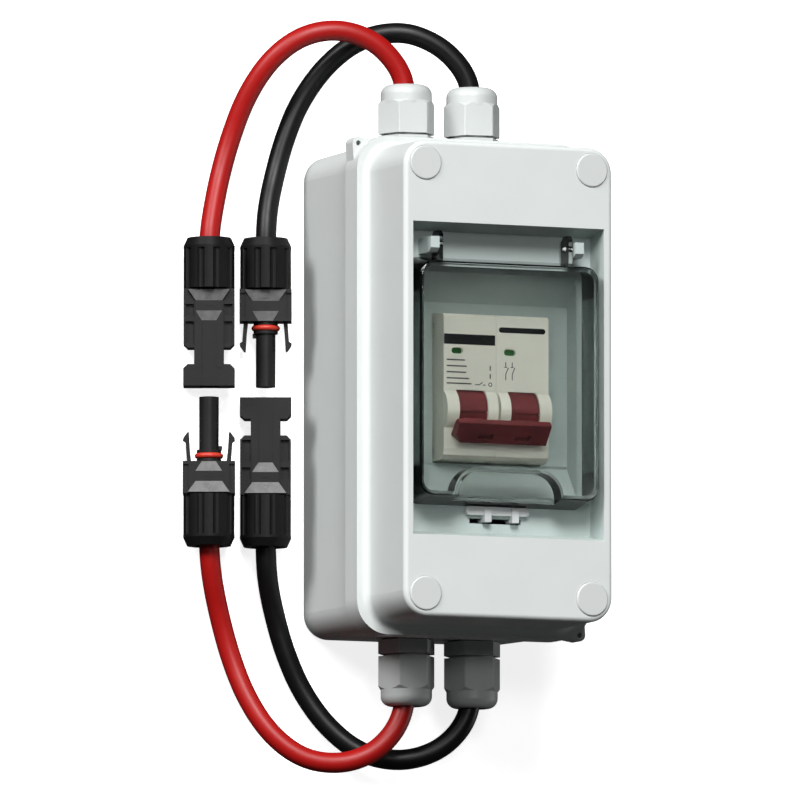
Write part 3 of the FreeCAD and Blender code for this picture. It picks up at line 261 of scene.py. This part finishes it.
def clear_plastic(name, face_tint, wall_painted_shade, edge_painted_shade, painted_dark_beyond, roughness):
    """Clear moulding: see-through faces, with painted shade on its grey walls and near-black
    edges.

    Walls further than painted_dark_beyond from the middle along Y get the same painted shade as
    edges.
    """
    material, tree, shader = new_material(name)
    facing = size_along(tree, "Normal", "Z")
    # Painted shade: sideways walls grey and edges near black, standing in for the dark lines that
    # refraction makes.
    walls = ramp(tree, facing, wall_painted_shade, edge_painted_shade, *WALL_FACING)
    ends = step_up(tree, size_along(tree, "Object", "Y"), painted_dark_beyond - MM, painted_dark_beyond)
    walls = mix(tree, ends, walls, flat_colour(tree, edge_painted_shade))
    faces = step_up(tree, facing, *FACE_FACING)
    tint = mix(tree, faces, walls, flat_colour(tree, face_tint))
    tree.links.new(tint, shader.inputs["Base Color"])
    shader.inputs["Transmission Weight"].default_value = 1.0
    shader.inputs["IOR"].default_value = 1.5
    gloss = spread(tree, noise(tree, 300.0), roughness * 0.6, roughness * 1.4)
    tree.links.new(gloss, shader.inputs["Roughness"])
    return material


def painted_recess_shade(material, tint):
    """Painted shade: a greyer tone inside the door's recess, where shade falls."""
    tree = material.node_tree
    shader = tree.nodes["Principled BSDF"]
    base = shader.inputs["Base Color"].links[0].from_socket
    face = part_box("cover_shell")[1][2]
    door_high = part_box("window_door")[1]
    within = []
    for edge, (axis, margin) in zip(door_high, RECESS_MARGINS.items()):
        limit = edge + margin
        within.append(step_up(tree, size_along(tree, "Object", axis), limit, limit - RECESS_EDGE))
    depth = size_along(tree, "Object", "Z")
    below = step_up(tree, depth, face - RECESS_STARTS, face - RECESS_FULL)
    shaded = product(tree, product(tree, *within), below)
    tone = mix(tree, shaded, base, flat_colour(tree, tint))
    tree.links.new(tone, shader.inputs["Base Color"])
    return material


def plated_metal(name, colour, roughness):
    """Plated or drawn metal with slight colour and gloss changes."""
    material, tree, shader = new_material(name)
    tone = ramp(tree, noise(tree, 900.0), shade(colour, 0.85), shade(colour, 1.1))
    tree.links.new(tone, shader.inputs["Base Color"])
    shader.inputs["Metallic"].default_value = 1.0
    gloss = spread(tree, noise(tree, 700.0), roughness - 0.08, roughness + 0.1)
    tree.links.new(gloss, shader.inputs["Roughness"])
    return material


ENCLOSURE_WHITE = (0.615, 0.645, 0.635)
MATERIALS = {
    "enclosure": moulded_plastic("enclosure_plastic", ENCLOSURE_WHITE, 0.42, mottle=0.012),
    # Cover: the door's recess gets a greyer painted shade.
    "cover": painted_recess_shade(moulded_plastic("cover_plastic", ENCLOSURE_WHITE, 0.42, mottle=0.012),
                           (0.47, 0.54, 0.52)),
    "cap": moulded_plastic("cap_plastic", (0.565, 0.585, 0.58), 0.42, mottle=0.012),
    "gland": moulded_plastic("gland_nylon", (0.50, 0.525, 0.515), 0.42, grain=1800.0,
                             mottle=0.015),
    "cream": moulded_plastic("breaker_cream", (0.86, 0.845, 0.73), 0.45, mottle=0.02),
    "maroon": moulded_plastic("toggle_maroon", (0.19, 0.032, 0.034), 0.40, mottle=0.08),
    "green": moulded_plastic("flag_green", (0.05, 0.30, 0.05), 0.5),
    "red_flag": moulded_plastic("flag_red", (0.45, 0.02, 0.02), 0.5),
    "red_cable": moulded_plastic("cable_red_sheath", (0.34, 0.005, 0.004), 0.42, grain=3200.0,
                                 specular=0.33),
    "black_cable": moulded_plastic("cable_black_sheath", (0.003, 0.003, 0.0033), 0.42,
                                   grain=3200.0, mottle=0.1, specular=0.3),
    "plug_nut": moulded_plastic("plug_black_nut", (0.006, 0.006, 0.006), 0.45, grain=1500.0,
                                grain_depth=0.25, mottle=0.15, specular=0.16),
    # Plug slopes: their paler base colour is a painted reflection.
    "plug": painted_slope_reflection(
        moulded_plastic("plug_black_plastic", (0.010, 0.010, 0.010), 0.45, grain=1500.0,
                        grain_depth=0.25, mottle=0.15, specular=0.22), (0.13, 0.13, 0.13)),
    "print": moulded_plastic("printed_black", (0.008, 0.008, 0.009), 0.5, mottle=0.1,
                             specular=0.3),
    "fine_print": moulded_plastic("printed_grey", (0.10, 0.10, 0.09), 0.5, mottle=0.1,
                                  specular=0.3),
    "rubber": moulded_plastic("seal_rubber", (0.02, 0.02, 0.02), 0.6, mottle=0.1),
    "red_rubber": moulded_plastic("seal_red_rubber", (0.50, 0.03, 0.015), 0.45, mottle=0.05),
    # Door: clear faces; its walls, edges and far ends along Y get painted shade.
    "smoky": clear_plastic("door_clear", (0.95, 0.975, 0.965), (0.30, 0.34, 0.33),
                           (0.008, 0.010, 0.009), DOOR_PAINTED_DARK_FROM, 0.02),
    # Lens: clear faces; its walls and edges get painted shade.
    "lens": clear_plastic("lens_clear", (0.95, 0.98, 0.96), (0.5, 0.55, 0.5), (0.4, 0.45, 0.4),
                          1.0, 0.02),
    "steel": plated_metal("zinc_steel", (0.62, 0.63, 0.65), 0.34),
    "brass": plated_metal("brass", (0.72, 0.52, 0.22), 0.3),
    "copper": plated_metal("winding_copper", (0.60, 0.25, 0.12), 0.35),
    "tin": plated_metal("tinned_copper", (0.75, 0.70, 0.62), 0.3),
}


def nodes_named(*starts):
    return [name for name in nodes if name.startswith(starts)]


NODE_MATERIALS = {
    "enclosure": ["base_shell"],
    "cover": ["cover_shell"],
    "cap": ["screw_caps", "door_hinge_pins", "door_catch"],
    "gland": nodes_named("gland_body", "gland_nut", "gland_locknuts"),
    "cream": ["pole_case_left", "pole_case_right", "rail_clips"],
    "maroon": ["toggle_left", "toggle_right", "handle_tie_bar"],
    "green": ["state_flags_green"],
    "red_flag": ["state_flags_red"],
    "red_cable": ["inner_leads_red"],
    "black_cable": ["inner_leads_black"],
    "plug": nodes_named("plug_housing"),
    "plug_nut": nodes_named("plug_nut"),
    "rubber": ["gland_seals", "gland_washers", "plug_cable_seals", "lid_gasket"],
    "red_rubber": ["plug_face_seals"],
    "smoky": ["window_door"],
    "lens": ["state_window_lenses"],
    "steel": ["lid_screws", "din_rail", "rail_screws", "toggle_pivot_pins", "terminal_screws",
              "arc_chute_plates", "case_rivets"],
    "brass": ["terminal_clamps"],
    "copper": ["trip_coils"],
    "tin": ["moving_contacts", "fixed_contacts", *nodes_named("plug_contact")],
}


def dress_nodes():
    for key, names in NODE_MATERIALS.items():
        for name in names:
            slots = nodes[name].data.materials
            slots.clear()
            slots.append(MATERIALS[key])


# --------------------------------------------------------------------- cables
CABLE = 6.4 * MM
ROUTES = {
    "top_red": ((-11.2, 86.5, 25.2), (-11.2, 96, 25.2), (-14.5, 103.6, 25), (-22, 110.7, 24),
                (-32.5, 114, 21.5), (-43.5, 111.9, 18), (-52.5, 104.3, 13.5), (-58.3, 93, 8),
                (-61.6, 80.5, 3.6), (-65, 68.5, 3.2), (-68.4, 57.5, 5.8), (-70.7, 48.5, 8),
                (-70.7, 41.5, 8)),
    "top_black": ((11.2, 86.5, 25.2), (11.2, 96, 25.2), (7.9, 103.7, 24.5), (0.5, 110.8, 22.5),
                  (-10, 114.7, 19), (-21.5, 112.4, 13.5), (-31, 104.3, 8), (-38.4, 92.5, 4),
                  (-43.2, 80.5, 3.2), (-46.5, 69, 3.2), (-50, 58.5, 6), (-51.5, 49, 8),
                  (-51.5, 42.1, 8)),
    "low_red": ((-11.2, -87.5, 25.2), (-11.2, -95.5, 25.2), (-14.5, -105, 25), (-22, -112.5, 24),
                (-32, -116, 21.5), (-43, -114.5, 18), (-52, -107, 13.5), (-57.8, -95.5, 8),
                (-61.2, -83, 3.6), (-64.8, -70.5, 3.2), (-68.8, -58.5, 6), (-70.7, -48.5, 8),
                (-70.7, -41.7, 8)),
    "low_black": ((11.2, -87.5, 25.2), (11.2, -95.7, 25.2), (7.6, -104.6, 24.5), (0, -111.5, 22),
                  (-10.5, -114.3, 17.5), (-21.5, -111.5, 12), (-30.5, -103, 7), (-37.5, -92, 3.7),
                  (-42.7, -80.5, 3.2), (-46.2, -69.5, 3.2), (-50, -58.5, 6), (-51.5, -48.5, 8),
                  (-51.5, -41.4, 8)),
}


def make_cable(key):
    data = bpy.data.curves.new(f"free_cable_{key}", "CURVE")
    data.dimensions = "3D"
    spline = data.splines.new("NURBS")
    points = ROUTES[key]
    spline.points.add(len(points) - 1)
    for control, point in zip(spline.points, points):
        control.co = (*(Vector(point) * MM), 1.0)
    spline.order_u = 3
    spline.use_endpoint_u = True
    spline.resolution_u = 10
    data.bevel_depth = CABLE / 2
    data.bevel_resolution = 8
    data.use_fill_caps = True
    colour = "red" if "red" in key else "black"
    data.materials.append(MATERIALS[f"{colour}_cable"])
    cable = bpy.data.objects.new(f"free_cable_{key}", data)
    bpy.context.scene.collection.objects.link(cable)
    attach(cable, "box")
    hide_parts(f"cable_{key}")


# -------------------------------------------------------------- printed marks
PRINT_DEPTH = 0.06 * MM
PILL_STEPS = 8
HOOP_STROKES = 12
lens_low, lens_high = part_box("state_window_lenses")
CASE_FRONT = lens_high[2] + 0.2 * MM
WINDOW_Y = (lens_low[1] + lens_high[1]) / 2
POLE_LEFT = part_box("pole_case_left")[0][0]
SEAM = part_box("pole_case_right")[0][0]


def bar(x, y, width, height):
    """Corners of a rectangle from its lower left corner, in millimetres."""
    return [(x, y), (x + width, y), (x + width, y + height), (x, y + height)]


def stroke(start, end, width):
    """Corners of a straight line of some width between two points."""
    along = (Vector(end) - Vector(start)).normalized() * width / 2
    across = Vector((-along.y, along.x))
    first, last = Vector(start), Vector(end)
    corners = (first - across, last - across, last + across, first + across)
    return [tuple(corner) for corner in corners]


def pill(x, y, width, height):
    """Corners of a bar with round ends."""
    radius = height / 2
    corners = []
    for centre, turn in ((x + width - radius, -90), (x + radius, 90)):
        for step in range(PILL_STEPS + 1):
            angle = math.radians(turn + step * 180 / PILL_STEPS)
            corners.append((centre + radius * math.cos(angle),
                            y + radius + radius * math.sin(angle)))
    return corners


def hoop(x, y, radius, width):
    """Short strokes that make a ring."""
    turns = [math.radians(360 / HOOP_STROKES * step) for step in range(HOOP_STROKES + 1)]
    rim = [(x + radius * math.cos(turn), y + radius * math.sin(turn)) for turn in turns]
    return [stroke(first, last, width) for first, last in zip(rim, rim[1:])]


def print_on_case(name, left, outlines, material):
    """Thin ink on the breaker's front; outlines are in mm from the left edge and the windows."""
    mesh = bpy.data.meshes.new(name)
    ink = bmesh.new()
    for outline in outlines:
        under = CASE_FRONT - PRINT_DEPTH / 2
        face = ink.faces.new([ink.verts.new((left + x * MM, WINDOW_Y + y * MM, under))
                              for x, y in outline])
        face.normal_update()
        if face.normal.z < 0:
            face.normal_flip()
        raised = bmesh.ops.extrude_face_region(ink, geom=[face])
        top = [item for item in raised["geom"] if isinstance(item, bmesh.types.BMVert)]
        bmesh.ops.translate(ink, verts=top, vec=(0, 0, PRINT_DEPTH))
    bmesh.ops.recalc_face_normals(ink, faces=ink.faces)
    ink.to_mesh(mesh)
    ink.free()
    mesh.materials.append(MATERIALS[material])
    mark = bpy.data.objects.new(name, mesh)
    bpy.context.scene.collection.objects.link(mark)
    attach(mark, "box")


def switch_symbol(x):
    """Break contact: two stubs and a slanted blade."""
    return [stroke((x, -3.0), (x, -4.6), 0.25), stroke((x, -6.8), (x, -8.6), 0.25),
            stroke((x, -6.8), (x + 0.9, -4.7), 0.25),
            stroke((x - 0.5, -4.6), (x + 0.5, -4.6), 0.2)]


def make_prints():
    """Plain bands, ruled lines and the usual on, off and contact symbols."""
    print_on_case("print_band_left", POLE_LEFT, [bar(0.15, 1.95, 17.3, 3.2)], "print")
    print_on_case("print_strip_right", SEAM, [pill(0.9, 6.1, 15.8, 1.7)], "print")
    rows = ((-3.1, 6.2), (-5.0, 6.8), (-6.9, 6.6), (-8.8, 7.6), (-10.4, 8.4))
    rules = [bar(1.0, y, width, 0.42) for y, width in rows]
    print_on_case("print_rules_left", POLE_LEFT, rules, "fine_print")
    on_off = [bar(15.6, -5.9, 0.35, 1.5), bar(15.6, -8.4, 0.35, 1.5),
              *hoop(15.8, -10.2, 0.55, 0.25), stroke((10.6, -10.4), (12.0, -10.4), 0.25),
              stroke((12.0, -10.4), (13.2, -9.6), 0.25),
              stroke((13.3, -10.4), (14.2, -10.4), 0.25)]
    print_on_case("print_on_off_left", POLE_LEFT, on_off, "print")
    contacts = [*switch_symbol(3.2), *switch_symbol(5.4)]
    print_on_case("print_contacts_right", SEAM, contacts, "print")


# --------------------------------------------------------------------- studio
FLOOR_HALF = 4.0
FLOOR_GAP = 0.05 * MM
FLOOR_GLOW = 0.8


def make_floor():
    """Pale, softly lit table under the box."""
    mesh = bpy.data.meshes.new("floor")
    half = FLOOR_HALF
    corners = [(-half, -half, 0), (half, -half, 0), (half, half, 0), (-half, half, 0)]
    mesh.from_pydata(corners, [], [(0, 1, 2, 3)])
    floor = bpy.data.objects.new("floor", mesh)
    floor.location.z = -FLOOR_GAP
    material, tree, shader = new_material("floor_paper")
    paper = ramp(tree, noise(tree, 3.0), (0.90, 0.90, 0.90), (0.93, 0.93, 0.93))
    tree.links.new(paper, shader.inputs["Base Color"])
    shader.inputs["Roughness"].default_value = 0.9
    shader.inputs["Emission Color"].default_value = (1.0, 1.0, 1.0, 1.0)
    shader.inputs["Emission Strength"].default_value = FLOOR_GLOW
    mesh.materials.append(material)
    bpy.context.scene.collection.objects.link(floor)
    floor.visible_diffuse = False
    floor.visible_glossy = False


dress_nodes()
for key in ROUTES:
    make_cable(key)
make_prints()
make_floor()
make_lights()
make_camera()
